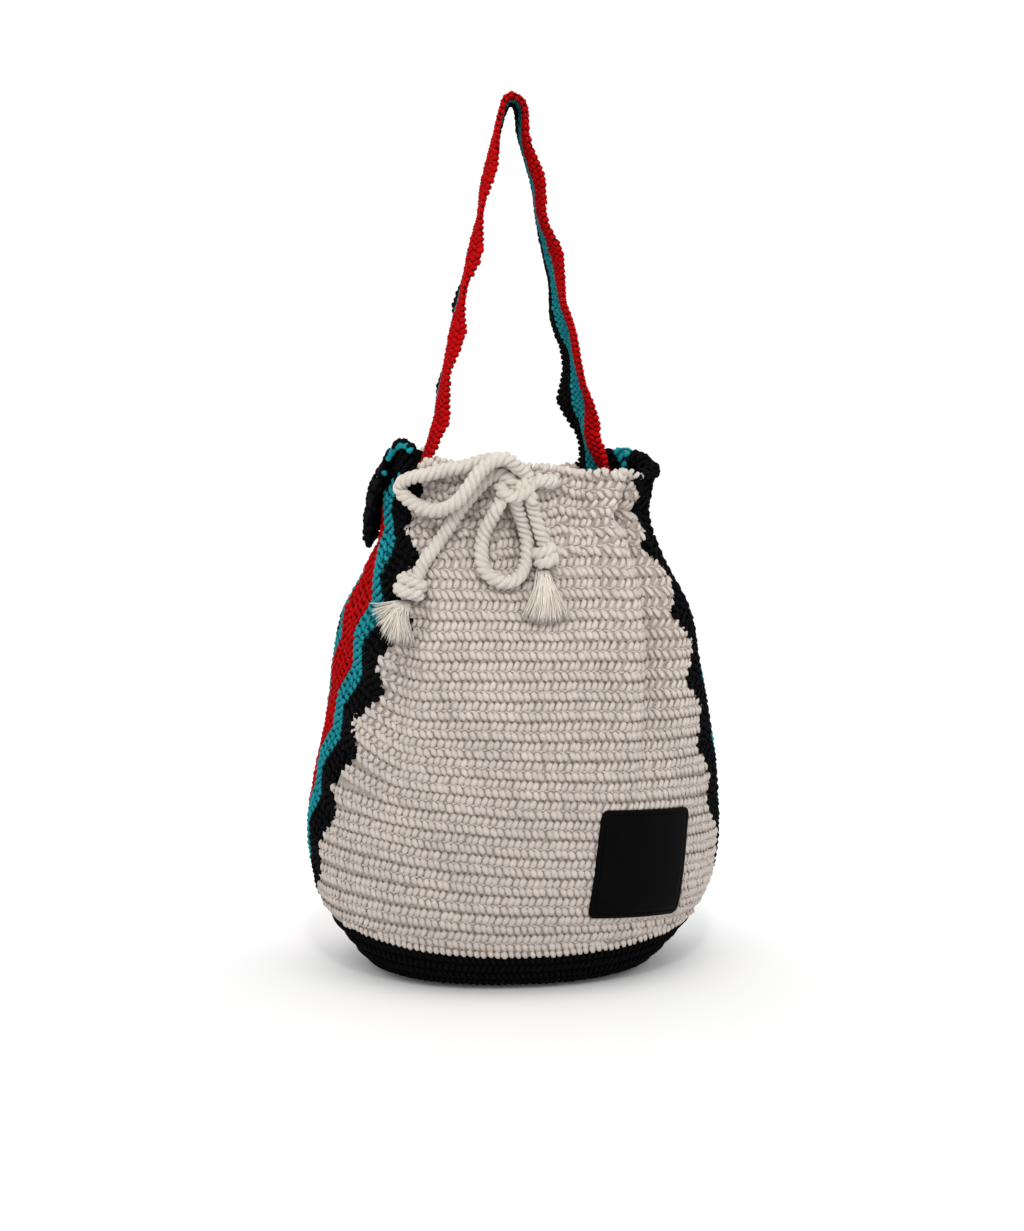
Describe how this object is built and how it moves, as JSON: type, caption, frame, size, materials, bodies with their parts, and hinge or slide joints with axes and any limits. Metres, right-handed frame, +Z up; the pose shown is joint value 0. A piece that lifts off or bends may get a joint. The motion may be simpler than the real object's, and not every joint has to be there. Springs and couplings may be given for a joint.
{
  "type": "drawstring shoulder bag",
  "caption": "Crocheted bucket shoulder bag standing upright, with striped side gussets, a rope drawstring tied in a bow, a leather patch and a narrow striped strap.",
  "frame": {"origin": "under the middle of the bag, at the height of the surface it stands on", "axes": "+Z up, towards the strap; -Y the front, with the bow and the leather patch; +X to the right as one looks at the front"},
  "size_m": [0.2959, 0.2158, 0.6174],
  "materials": {
    "base": "black cotton crochet, matt",
    "front": "cream cotton crochet, matt",
    "back": "cream cotton crochet, matt",
    "gusset_left": "zigzag stripes of black, teal and red cotton crochet, matt",
    "gusset_right": "zigzag stripes of black, teal and red cotton crochet, matt",
    "strap": "red, teal and black cotton crochet, matt",
    "patch": "black leather, lightly grained, satin",
    "rope": "cream three-strand cotton rope, matt"
  },
  "bodies": {
    "root": {"base_panel": "base", "front_panel": "front", "back_panel": "back", "left_gusset": "gusset_left", "right_gusset": "gusset_right", "shoulder_strap": "strap", "leather_patch": "patch", "rope_bow_knot": "rope", "rope_loop_left": "rope", "rope_loop_hanging": "rope", "rope_tail_left": "rope", "rope_tail_right": "rope", "rope_neck_run": "rope", "rope_end_knot_left": "rope", "rope_end_knot_right": "rope", "rope_tassel_left": "rope", "rope_tassel_right": "rope"}
  },
  "joints": []
}
